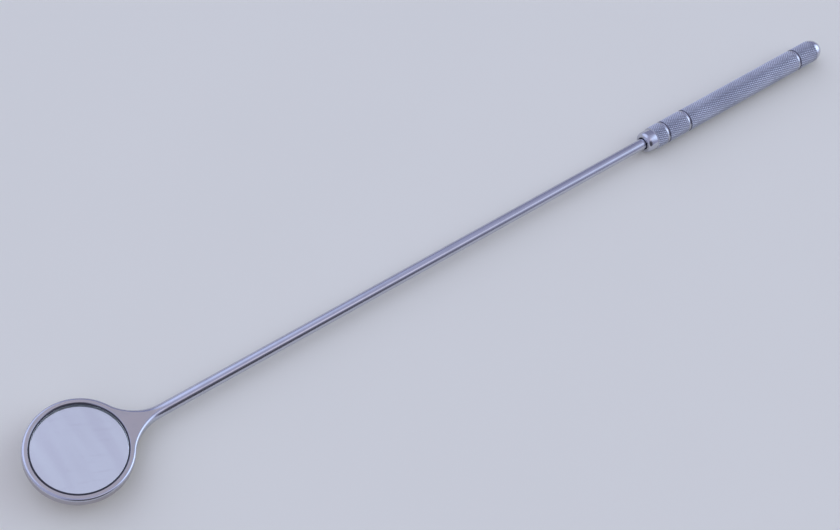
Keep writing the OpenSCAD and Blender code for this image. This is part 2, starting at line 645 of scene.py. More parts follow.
class Skin:
    """The surface of one piece while it is being built, in its own frame in millimetres."""

    def __init__(self) -> None:
        """Starts with no points and no faces."""
        self.points: list[np.ndarray] = []
        self.faces: list[tuple[int, ...]] = []
        self.finish_of: list[int] = []

    def add(self, points: np.ndarray) -> np.ndarray:
        """Adds points.

        Args:
            points: Rows of x, y and z.

        Returns:
            Their numbers.
        """
        first = len(self.points)
        self.points.extend(np.atleast_2d(points))
        return np.arange(first, len(self.points))

    def face(self, corners: Sequence[int], finish: int = 0) -> None:
        """Adds a face, leaving out corners that repeat.

        Args:
            corners: Its points' numbers in order.
            finish: Which of the piece's finishes it takes.
        """
        kept = [int(c) for i, c in enumerate(corners) if c != corners[i - 1]]
        if len(kept) > 2:
            self.faces.append(tuple(kept))
            self.finish_of.append(finish)

    def band(
        self, first: np.ndarray, second: np.ndarray, finish: int = 0, closed: bool = True
    ) -> None:
        """Joins two rows of points with four-sided faces.

        Args:
            first: The first row's numbers.
            second: The second row's numbers.
            finish: Which finish the faces take.
            closed: Whether the rows are rings.
        """
        count = len(first)
        for i in range(count if closed else count - 1):
            j = (i + 1) % count
            self.face((first[i], first[j], second[j], second[i]), finish)

    def fan(self, ring: np.ndarray, middle: np.ndarray) -> None:
        """Closes a ring with a fan of triangles.

        Args:
            ring: The ring's numbers.
            middle: The point in its middle.
        """
        centre = self.add(middle)[0]
        for i in range(len(ring)):
            self.face((ring[i], ring[(i + 1) % len(ring)], centre))

    MERGE_WITHIN = 1e-7
    DISSOLVE_WITHIN = 1e-8
    CREASE = 28.0

    def piece(
        self, name: str, place: Matrix, finishes: Sequence[bpy.types.Material]
    ) -> bpy.types.Object:
        """Makes the object, smooth except over creases.

        Args:
            name: The object's name.
            place: Carries the skin's frame, in millimetres, into the row's, in metres.
            finishes: Its materials.

        Returns:
            The object.
        """
        mesh = bpy.data.meshes.new(name)
        mesh.from_pydata([tuple(place @ Vector(p)) for p in self.points], [], self.faces)
        for material in finishes:
            mesh.materials.append(material)
        mesh.polygons.foreach_set("material_index", self.finish_of)
        mesh.validate()
        self._face_outwards(mesh)
        mesh.shade_smooth()
        mesh.set_sharp_from_angle(angle=math.radians(self.CREASE))
        made = bpy.data.objects.new(name, mesh)
        bpy.context.scene.collection.objects.link(made)
        return made

    def _face_outwards(self, mesh: bpy.types.Mesh) -> None:
        """Merges points that coincide and turns every face outwards.

        Args:
            mesh: The mesh, which is changed.
        """
        work = bmesh.new()
        work.from_mesh(mesh)
        bmesh.ops.remove_doubles(work, verts=work.verts, dist=self.MERGE_WITHIN)
        bmesh.ops.dissolve_degenerate(work, edges=work.edges, dist=self.DISSOLVE_WITHIN)
        bmesh.ops.recalc_face_normals(work, faces=work.faces)
        work.to_mesh(mesh)
        work.free()


def around(x: float, r: Union[float, np.ndarray], turns: np.ndarray) -> np.ndarray:
    """Points round the X axis.

    Args:
        x: Where they are along the axis.
        r: Their radius, or a radius for each.
        turns: Their angles.

    Returns:
        Rows of x, y and z.
    """
    return np.stack([np.full(len(turns), x), r * np.cos(turns), r * np.sin(turns)], 1)


def lathe(skin: Skin, profile: np.ndarray, sides: int) -> None:
    """Turns a closed profile about the X axis.

    Args:
        skin: What the surface is added to.
        profile: Rows of place along the axis and radius.
        sides: How many sides a turn has.
    """
    turns = np.arange(sides) * TURN / sides
    rings = []
    for x, r in profile:
        if r < TINY:
            rings.append(np.repeat(skin.add(np.array([x, 0.0, 0.0])), sides))
        else:
            rings.append(skin.add(around(x, r, turns)))
    for i, ring in enumerate(rings):
        following = rings[(i + 1) % len(rings)]
        if ring[0] != ring[1] or following[0] != following[1]:
            skin.band(ring, following)


def turned_piece(
    name: str, place: Matrix, profile: np.ndarray, sides: int, finish: Finish
) -> bpy.types.Object:
    """Makes a piece that is turned from one profile and has one finish.

    Args:
        name: The piece's name.
        place: Carries the profile's frame into the row's.
        profile: Rows of place along the axis and radius.
        sides: How many sides a turn has.
        finish: The piece's finish.

    Returns:
        The object.
    """
    skin = Skin()
    lathe(skin, profile, sides)
    return skin.piece(name, place, [finish.material()])


def span(node: str) -> tuple[float, float]:
    """Where a CAD node starts and ends along the row, in millimetres."""
    low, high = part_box(node)
    return low.x / MM, high.x / MM


def show(piece: bpy.types.Object, body: str, nodes: Sequence[str]) -> None:
    """Sets a piece on its body in place of the CAD nodes that it stands for.

    Args:
        piece: The piece.
        body: The body that it rides on.
        nodes: The nodes that it replaces.
    """
    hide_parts(*nodes)
    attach(piece, body)
    LOG.info("%s: %d faces on %s", piece.name, len(piece.data.polygons), body)


SATIN_TINT = (0.60, 0.55, 0.52)
ROD_TINT = (0.58, 0.59, 0.66)
ROD_DULL = (0.53, 0.54, 0.60)
# Painted shade: the rim's wall is darker and pinker than the rest of the frame, standing in for
# the shaded floor that it reflects
WALL_SHADE_TINT = (0.44, 0.41, 0.45)
ROD_STEEL = Steel(
    name="drawn_steel",
    tint=ROD_TINT,
    dull=ROD_DULL,
    roughness=0.15,
    dulling=0.06,
    grain=Grain.DRAWN,
    grain_size=0.35,
    grain_depth=0.0025,
)


# ---------------------------------------------------------------- the mirror head


@dataclass
class MirrorHead:
    """The glass, its seal and the turned frame with its neck.

    Attributes:
        tilt: Angle between the mirror's face and the shaft.
        glass_r: Radius of the glass.
        glass_t: Thickness of the glass.
        glass_sink: How far the glass lies below the rim.
        film_t: Thickness of the silvering.
        seal_w: Width of the seal.
        rim_w: Width of the rim outside the seal.
        thick: Thickness of the frame.
        edge_r: Rounding of the frame's edges.
        bevel: Bevel on the inner edge of the rim.
        seat_depth: Depth of the seat under the rim.
        reach: From the middle of the mirror to the bend in the neck.
        stub_r: Radius of the stub.
        stub_l: Length of the stub after the bend.
        bend_half: Half the length over which the neck bends.
        round_from: Where the neck's edges start to round into the stub.
        round_to: Where they have become round.
        socket_r: Radius of the socket in the stub.
        socket_l: Depth of the socket in the stub.
        wall_end: Where along the neck the finish of the rim's wall has faded out.
        root_crowding: How the neck's points crowd across its root, as a power.
        cap_rows: How many rows of faces a flat face has.
        body: The body that the head belongs to.
        place: Carries the head's frame, in millimetres, into the row's.
    """

    tilt: float = 8.1
    glass_r: float = 21.5
    glass_t: float = 2.0
    glass_sink: float = 0.3
    film_t: float = 0.1
    seal_w: float = 0.7
    rim_w: float = 2.8
    thick: float = 6.0
    edge_r: float = 1.2
    bevel: float = 0.3
    seat_depth: float = 3.0
    reach: float = 39.5
    stub_r: float = 3.0
    stub_l: float = 12.0
    bend_half: float = 4.0
    round_from: float = 26.0
    round_to: float = 45.0
    socket_r: float = 2.01
    socket_l: float = 8.0
    wall_end: float = 34.0
    root_crowding: float = 0.75
    cap_rows: int = 8
    body: str = "mirror"
    place: Matrix = field(init=False)

    OVERLAP = 0.04
    EDGE_STEPS = 10
    STUB_STEPS = 10
    ARC_STEPS = 44
    RIM_STEPS = 90

    def __post_init__(self) -> None:
        """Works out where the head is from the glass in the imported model."""
        low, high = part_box("mirror_glass")
        middle = (low + high) / 2
        glass_z = -self.glass_sink - self.glass_t / 2
        self.place = (
            Matrix.Translation(middle)
            @ Matrix.Rotation(math.radians(self.tilt), 4, "Y")
            @ ROW
            @ Matrix.Translation((0, 0, -glass_z))
        )

    @property
    def seat_r(self) -> float:
        """Radius of the seat that holds the glass."""
        return self.glass_r + self.seal_w

    @property
    def rim_r(self) -> float:
        """Outer radius of the frame."""
        return self.seat_r + self.rim_w

    def upright(self) -> Matrix:
        """Carries a profile turned about X into the head, with X along the mirror's normal."""
        return self.place @ Matrix.Rotation(math.radians(-90), 4, "Y")

    def build_glass(self, finish: ClearGlass) -> None:
        """Builds the disc of glass, let into the seal and the silvering by a hair.

        Args:
            finish: The glass's finish.
        """
        top = -self.glass_sink
        bottom = top - self.glass_t - self.OVERLAP
        radius = self.glass_r + self.OVERLAP
        corners = [
            Corner(bottom, 0),
            Corner(bottom, radius - HOLD),
            Corner(bottom, radius, 0.03),
            Corner(top, radius, 0.15),
            Corner(top, radius - HOLD),
            Corner(top, 0),
        ]
        profile = rounded(corners, 4)
        piece = turned_piece("mirror_disc", self.upright(), profile, FINE_SIDES, finish)
        show(piece, self.body, ["mirror_glass"])

    def build_silvering(self, finish: Silvering) -> None:
        """Builds the silver film under the glass.

        Args:
            finish: The film's finish.
        """
        top = -self.glass_sink - self.glass_t
        bottom = top - self.film_t
        radius = self.glass_r + self.OVERLAP + HAIR
        profile = np.array([(bottom, 0), (bottom, radius), (top, radius), (top, 0)])
        piece = turned_piece("silver_film", self.upright(), profile, FINE_SIDES, finish)
        show(piece, self.body, ["mirror_silvering"])

    def build_seal(self, finish: Filler, inside: Filler) -> None:
        """Builds the bead of sealant, hollowed on top where it was wiped.

        Args:
            finish: The sealant's finish.
            inside: Its finish where it lies against the glass's ground edge.
        """
        top = -self.glass_sink
        bottom = top - self.glass_t - self.film_t
        inner, outer = self.glass_r, self.seat_r - HAIR
        corners = [
            Corner(bottom, inner),
            Corner(bottom, outer),
            Corner(top + 0.10, outer, 0.04),
            Corner(top - 0.03, (inner + outer) / 2 + 0.05, 0.3),
            Corner(top + 0.02, inner, 0.03),
        ]
        skin = Skin()
        lathe(skin, rounded(corners, 4), BEAD_SIDES)
        skin.finish_of[-BEAD_SIDES:] = [1] * BEAD_SIDES
        piece = skin.piece("seal_bead", self.upright(), [finish.material(), inside.material()])
        show(piece, self.body, ["glass_seal"])

    def dress_cement(self, finish: Filler) -> None:
        """Gives the hidden bed of cement its finish.

        Args:
            finish: The cement's finish.
        """
        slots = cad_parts["glass_cement"].material_slots
        slots[0].material = finish.material()
        LOG.info("glass_cement: dressed")

    def outline(self) -> tuple[np.ndarray, np.ndarray, np.ndarray]:
        """The frame's outline, from the stub's end round the rim and back.

        Returns:
            Points in plan, their outward directions, and the rounding of the edges there.
        """
        arc_r = (self.reach**2 + self.stub_r**2 - self.rim_r**2) / (2 * (self.rim_r - self.stub_r))
        centre = np.array([self.reach, self.stub_r + arc_r])
        touch = math.atan2(centre[1], centre[0])
        stub = []
        for start, end in ((self.stub_end, self.round_to), (self.round_to, self.reach)):
            for x in np.linspace(start, end, self.STUB_STEPS)[:-1]:
                stub.append(((x, self.stub_r), (0.0, 1.0)))
        arc = []
        for angle in np.linspace(-math.pi / 2, touch - math.pi, self.ARC_STEPS)[:-1]:
            away = np.array([math.cos(angle), math.sin(angle)])
            arc.append((tuple(centre + arc_r * away), tuple(-away)))
        rim = []
        for angle in np.linspace(touch, math.pi, self.RIM_STEPS):
            away = (math.cos(angle), math.sin(angle))
            rim.append(((self.rim_r * away[0], self.rim_r * away[1]), away))
        side = stub + arc + rim
        mirrored = [((p[0], -p[1]), (n[0], -n[1])) for p, n in reversed(side[:-1])]
        plan = np.array([p for p, _ in side + mirrored])
        away = np.array([n for _, n in side + mirrored])
        along = (plan[:, 0] - self.round_from) / (self.round_to - self.round_from)
        share = np.clip(along, 0, 1)
        smooth = share * share * (3 - 2 * share)
        return plan, away, self.edge_r + (self.stub_r - self.edge_r) * smooth

    @property
    def stub_end(self) -> float:
        """Where the stub ends, along the straight neck."""
        return self.reach + self.stub_l

    def bent(self, points: np.ndarray) -> np.ndarray:
        """Bends the straight neck into the shaft's line.

        Args:
            points: Points of the straight frame.

        Returns:
            The same points, bent.
        """
        angle = math.radians(self.tilt)
        radius = self.bend_half / math.tan(angle / 2)
        start, middle = self.reach - self.bend_half, -self.thick / 2
        turned = np.clip((points[:, 0] - start) / radius, 0, angle)
        beyond = points[:, 0] - start - turned * radius
        rise = points[:, 2] - middle
        sine, cosine = np.sin(turned), np.cos(turned)
        x = start + (radius - rise) * sine + beyond * cosine
        z = middle + radius * (1 - cosine) + beyond * sine + rise * cosine
        return np.stack([x, points[:, 1], z], 1)

    def section(self, rounding: float) -> tuple[np.ndarray, np.ndarray]:
        """Section of the frame's edge, from its face round to its back.

        Args:
            rounding: Radius of the rounded edges.

        Returns:
            How far each point lies inside the outline, and its height.
        """
        upper = np.linspace(0, math.pi / 2, self.EDGE_STEPS + 1)
        lower = np.linspace(math.pi / 2, math.pi, self.EDGE_STEPS + 1)
        inside = np.concatenate([rounding * (1 - np.sin(upper)), rounding * (1 - np.sin(lower))])
        above = -rounding * (1 - np.cos(upper))
        below = -self.thick + rounding * (1 + np.cos(lower))
        return inside, np.concatenate([above, below])

    def circle_angles(self, plan: np.ndarray) -> np.ndarray:
        """Where on a circle inside the rim each point of the outline is led to.

        Args:
            plan: Points of the outline.

        Returns:
            The angles. The neck's points share out the arc across the neck's root.
        """
        angles = np.arctan2(plan[:, 1], plan[:, 0])
        reach = np.hypot(plan[:, 0], plan[:, 1])
        neck = reach > self.rim_r + HAIR
        root = float(np.abs(angles[~neck]).min())
        root_x = float(plan[~neck, 0].max())
        share = (self.round_to - plan[neck, 0]) / (self.round_to - root_x)
        angles[neck] = np.sign(plan[neck, 1]) * root * np.clip(share, 0, 1) ** self.root_crowding
        return angles

    def cap(
        self,
        skin: Skin,
        edge: np.ndarray,
        plan: np.ndarray,
        angles: np.ndarray,
        radius: float,
        z: float,
    ) -> np.ndarray:
        """Fills a face of the frame between its outline and a circle.

        Args:
            skin: What the faces are added to.
            edge: Numbers of the points round the face's edge.
            plan: Those points in plan.
            angles: Where on the circle they are led to.
            radius: The circle's radius.
            z: The face's height.

        Returns:
            Numbers of the points round the circle.
        """
        circle = radius * np.stack([np.cos(angles), np.sin(angles)], 1)
        previous = edge
        for k in range(1, self.cap_rows + 1):
            flat = plan + (circle - plan) * (k / self.cap_rows)
            row = skin.add(self.bent(np.column_stack([flat, np.full(len(flat), z)])))
            skin.band(previous, row)
            previous = row
        return previous

    def build_frame(self, face: Steel, edge: Steel, wall: Steel) -> None:
        """Builds the cup and its neck, whose edges round until they meet in the stub.

        Args:
            face: Finish of the flat faces and the seat.
            edge: Finish of the rounded edges, the seat's bevel and the stub.
            wall: Finish of the rim's wall and its lower edge, painted darker as the shaded floor
                that they reflect.
        """
        plan, away, rounding = self.outline()
        skin = Skin()
        columns, tops, bottoms = [], [], []
        for p, n, r in zip(plan, away, rounding):
            inside, z = self.section(r)
            column = np.column_stack([p[0] - n[0] * inside, p[1] - n[1] * inside, z])
            tops.append(column[0, :2])
            bottoms.append(column[-1, :2])
            columns.append(skin.add(self.bent(column)))
        for i, (first, second) in enumerate(zip(columns, columns[1:])):
            skin.band(first, second, 1, closed=False)
            # Finish 2, the painted shade, goes on the rim's wall and its lower edge
            if plan[i, 0] < self.wall_end:
                lower = self.EDGE_STEPS + 1
                skin.finish_of[-lower:] = [2] * lower
        flat = np.flatnonzero(plan[:, 0] <= self.round_to + TINY)
        angles = self.circle_angles(plan[flat])
        top_edge = np.array([columns[i][0] for i in flat])
        bottom_edge = np.array([columns[i][-1] for i in flat])
        plain_top, plain_bottom = np.array(tops)[flat], np.array(bottoms)[flat]
        seat = self.cap(skin, top_edge, plain_top, angles, self.seat_r + self.bevel, 0.0)
        circle = self.seat_r * np.stack([np.cos(angles), np.sin(angles)], 1)
        for z in (-self.bevel, -self.seat_depth):
            row = skin.add(np.column_stack([circle, np.full(len(angles), z)]))
            skin.band(seat, row, 1)
            seat = row
        skin.fan(seat, np.array([0.0, 0.0, -self.seat_depth]))
        back = self.cap(skin, bottom_edge, plain_bottom, angles, self.seat_r, -self.thick)
        skin.fan(back, np.array([0.0, 0.0, -self.thick]))
        self._close_stub(skin, np.concatenate([columns[0], columns[-1][::-1]]))
        finishes = [face.material(), edge.material(), wall.material()]
        piece = skin.piece("mirror_cup", self.place, finishes)
        show(piece, self.body, ["mirror_frame"])

    def _close_stub(self, skin: Skin, rim: np.ndarray) -> None:
        """Closes the stub's end round the socket that takes the shaft's spigot.

        Args:
            skin: What the faces are added to.
            rim: Numbers of the points round the stub's end.
        """
        half = len(rim) // 2
        turn = np.linspace(math.pi / 2, -math.pi / 2, half)
        side = np.stack([np.cos(turn), np.sin(turn)], 1)
        across = np.concatenate([side, side[::-1] * (-1, 1)])
        previous = rim
        for x in (self.stub_end, self.stub_end - self.socket_l):
            ring = np.column_stack([
                np.full(len(across), x),
                across[:, 0] * self.socket_r,
                across[:, 1] * self.socket_r - self.thick / 2,
            ])
            row = skin.add(self.bent(ring))
            skin.band(previous, row)
            previous = row
        middle = np.array([[self.stub_end - self.socket_l, 0.0, -self.thick / 2]])
        skin.fan(previous, self.bent(middle)[0])

    def build(self) -> None:
        """Builds and dresses the whole head."""
        satin = Steel(
            name="satin_steel_face",
            tint=SATIN_TINT,
            dull=(0.54, 0.50, 0.48),
            roughness=0.30,
            dulling=0.08,
            grain=Grain.EVEN,
            grain_size=0.5,
            grain_depth=0.004,
        )
        # Painted shade: the wall's darker clean and dull colours stand in for the shaded floor
        # that it reflects; along the neck they fade to the rod's
        wall = Steel(
            name="polished_steel_wall_painted_shade",
            tint=WALL_SHADE_TINT,
            dull=(0.38, 0.35, 0.39),
            roughness=0.14,
            dulling=0.08,
            grain=Grain.EVEN,
            grain_size=0.9,
            grain_depth=0.002,
            fades_to=(ROD_TINT, ROD_DULL),
            fade=(-394.0, -376.0),
        )
        self.build_frame(satin, ROD_STEEL, wall)
        self.build_glass(ClearGlass("clear_glass", (0.96, 1.0, 0.98), 0.02))
        self.build_silvering(
            Silvering("silver_film", (0.95, 0.96, 0.97), (0.87, 0.86, 0.89), haze=0.05)
        )
        self.build_seal(
            Filler("dark_sealant", (0.022, 0.021, 0.030), (0.035, 0.034, 0.045), 0.45, 0.6, 0.03),
            Filler("ground_glass_edge", (0.16, 0.20, 0.21), (0.30, 0.34, 0.33), 0.5, 1.2, 0.02),
        )
        self.dress_cement(
            Filler("bedding_cement", (0.62, 0.58, 0.48), (0.55, 0.50, 0.42), 0.8, 0.4, 0.03)
        )


# ---------------------------------------------------------------- the shaft


@dataclass
class Shaft:
    """The rod between the neck and the handle, and the ring that seals it.

    Attributes:
        r: Radius of the rod.
        spigot_r: Radius of the brazed spigot.
        spigot_l: Length of the spigot.
        ring_r: Radius of the middle of the ring's cord about the shaft.
        cord_r: Radius of the ring's cord.
        groove_r: Radius of the bottom of the ring's groove.
        groove_w: Width of the ring's groove.
        thread_r: Radius of the threaded end.
        thread_l: Length of the threaded end.
        thread_pitch: Pitch of the thread.
        thread_deep: Depth of the thread.
        thread_bevel: Bevel on the end of the thread.
        relief_l: Length of the plain relief behind the shoulder.
        crest_from: Share of a pitch at which a crest starts.
        crest_to: Share of a pitch at which it ends.
        ring_steps: How many steps there are round the ring's cord.
    """

    r: float = 3.0
    spigot_r: float = 2.0
    spigot_l: float = 8.0
    ring_r: float = 3.0
    cord_r: float = 0.5
    groove_r: float = 2.47
    groove_w: float = 1.06
    thread_r: float = 2.5
    thread_l: float = 8.65
    thread_pitch: float = 0.8
    thread_deep: float = 0.4
    thread_bevel: float = 0.3
    relief_l: float = 1.2
    crest_from: float = 0.4
    crest_to: float = 0.6
    ring_steps: int = 24

    RELIEF_SHARE = 0.7

    def build_rod(self, finish: Steel) -> None:
        """Builds the rod with its spigot, groove and threaded end.

        Args:
            finish: The rod's finish.
        """
        start, end = span("shaft_rod")
        seam = start + self.spigot_l
        shoulder = end - self.thread_l
        ring_x = sum(span("shaft_seal_ring")) / 2
        groove = (ring_x - self.groove_w / 2, ring_x + self.groove_w / 2)
        corners = [
            Corner(start, 0),
            Corner(start, self.spigot_r, 0.2),
            Corner(seam, self.spigot_r),
            Corner(seam, self.r, 0.06),
            Corner(seam + HOLD, self.r),
            Corner(groove[0] - HOLD, self.r),
            Corner(groove[0], self.r, 0.05),
            Corner(groove[0], self.groove_r),
            Corner(groove[1], self.groove_r),
            Corner(groove[1], self.r, 0.05),
            Corner(shoulder, self.r, 0.1),
            Corner(shoulder, self.thread_r),
            *self._threads(shoulder, end),
            Corner(end, self.thread_r - self.thread_bevel),
            Corner(end, 0),
        ]
        piece = turned_piece("steel_rod", ROW, rounded(corners), ROD_SIDES, finish)
        show(piece, "mirror", ["shaft_rod"])

    def _threads(self, start: float, end: float) -> list[Corner]:
        """Crests and roots of the threaded end.

        Args:
            start: Where the threaded end starts.
            end: Where it stops.

        Returns:
            The corners between the two.
        """
        root_r = self.thread_r - self.thread_deep
        first = start + self.relief_l
        corners = [Corner(start + self.RELIEF_SHARE * self.relief_l, self.thread_r)]
        count = int((end - first - self.thread_deep) / self.thread_pitch)
        for k in range(count):
            x = first + k * self.thread_pitch
            corners.append(Corner(x, root_r))
            corners.append(Corner(x + self.thread_pitch * self.crest_from, self.thread_r))
            corners.append(Corner(x + self.thread_pitch * self.crest_to, self.thread_r))
        corners.append(Corner(first + count * self.thread_pitch, root_r))
        return corners

    def build_ring(self, finish: Filler) -> None:
        """Builds the rubber ring that lies round the rod in the mouth of the nose.

        Args:
            finish: The ring's finish.
        """
        middle = sum(span("shaft_seal_ring")) / 2
        turn = np.arange(self.ring_steps) * TURN / self.ring_steps
        places = middle + self.cord_r * np.cos(turn)
        profile = np.stack([places, self.ring_r + self.cord_r * np.sin(turn)], 1)
        piece = turned_piece("rubber_ring", ROW, profile, ROD_SIDES, finish)
        show(piece, "sealing_ring", ["shaft_seal_ring"])

    def build(self) -> None:
        """Builds and dresses the rod and its ring."""
        self.build_rod(ROD_STEEL)
        self.build_ring(
            Filler("grey_rubber", (0.16, 0.16, 0.22), (0.20, 0.20, 0.26), 0.6, 0.15, 0.02)
        )


# ---------------------------------------------------------------- the handle


@dataclass(frozen=True)
class Knurl:
    """Diamond knurling of a round bar.

    Attributes:
        crest_r: Radius of the bar over the crests.
        depth: Depth of the roots.
        around: How many diamonds there are round the bar.
        pitch: Length of a diamond along the bar.
        flat: Share of a diamond's width that its worn top takes.
    """

    crest_r: float
    depth: float
    around: int
    pitch: float
    flat: float

    def band(
        self, skin: Skin, start: float, end: float, parity: int
    ) -> tuple[np.ndarray, np.ndarray, int]:
        """Adds a band of diamonds.

        Args:
            skin: What the faces are added to.
            start: Where the band starts along the bar.
            end: Where it ends.
            parity: Whether the diamonds on the starting edge stand on even or odd columns.

        Returns:
            Numbers of the points round the two edges, and the parity of the ending edge.
        """
        columns = 2 * self.around
        rows = max(2, round((end - start) / (self.pitch / 2)))
        step = (end - start) / rows
        root_r = self.crest_r - self.depth

        def point(i: float, j: float, r: float) -> np.ndarray:
            """The point at a column and a row of the lattice."""
            angle = i * TURN / columns
            return np.array([start + j * step, r * math.cos(angle), r * math.sin(angle)])

        roots: dict[tuple[int, int], int] = {}
        tops: dict[tuple[int, int, str], int] = {}
        for j in range(rows + 1):
            for i in range(columns):
                if (i + j + parity) % 2:
                    roots[i, j] = skin.add(point(i, j, root_r))[0]
                    continue
                tops[i, j, "left"] = skin.add(point(i - self.flat, j, self.crest_r))[0]
                tops[i, j, "right"] = skin.add(point(i + self.flat, j, self.crest_r))[0]
                if j > 0:
                    tops[i, j, "back"] = skin.add(point(i, j - self.flat, self.crest_r))[0]
                if j < rows:
                    tops[i, j, "fore"] = skin.add(point(i, j + self.flat, self.crest_r))[0]
        for j in range(rows + 1):
            for i in range(columns):
                if (i + j + parity) % 2:
                    continue
                left, right = roots[(i - 1) % columns, j], roots[(i + 1) % columns, j]
                top_left, top_right = tops[i, j, "left"], tops[i, j, "right"]
                if 0 < j < rows:
                    skin.face((top_left, tops[i, j, "fore"], top_right, tops[i, j, "back"]))
                if j < rows:
                    fore, top = roots[i, j + 1], tops[i, j, "fore"]
                    skin.face((left, fore, top, top_left))
                    skin.face((fore, right, top_right, top))
                if j > 0:
                    back, top = roots[i, j - 1], tops[i, j, "back"]
                    skin.face((right, back, top, top_right))
                    skin.face((back, left, top_left, top))
                if j == 0:
                    skin.face((top_left, tops[i, j, "fore"], top_right))
                if j == rows:
                    skin.face((top_left, top_right, tops[i, j, "back"]))
        return (
            self._edge(roots, tops, 0, parity),
            self._edge(roots, tops, rows, parity),
            (parity + rows) % 2,
        )

    def _edge(self, roots: Mapping, tops: Mapping, j: int, parity: int) -> np.ndarray:
        """Numbers of the points round one row, root, left and right of each diamond in turn.

        Args:
            roots: Numbers of the root points.
            tops: Numbers of the top points.
            j: The row.
            parity: The band's parity.

        Returns:
            The numbers.
        """
        columns = 2 * self.around
        first = (j + parity) % 2
        edge = []
        for i in range(first, columns + first, 2):
            top = i % columns
            edge += [roots[(i - 1) % columns, j], tops[top, j, "left"], tops[top, j, "right"]]
        return np.array(edge)

    def edge_turns(self, parity: int) -> np.ndarray:
        """Angles of the points round a band's edge.

        Args:
            parity: The edge's parity.

        Returns:
            The angles, in the order of the edge's points.
        """
        columns = 2 * self.around
        turns = []
        for i in range(parity, columns + parity, 2):
            turns += [i - 1, i - self.flat, i + self.flat]
        return np.array(turns) * TURN / columns

    def edge_radii(self) -> np.ndarray:
        """Radii of the points round a band's edge, in the order of the edge's points."""
        return np.tile([self.crest_r - self.depth, self.crest_r, self.crest_r], self.around)


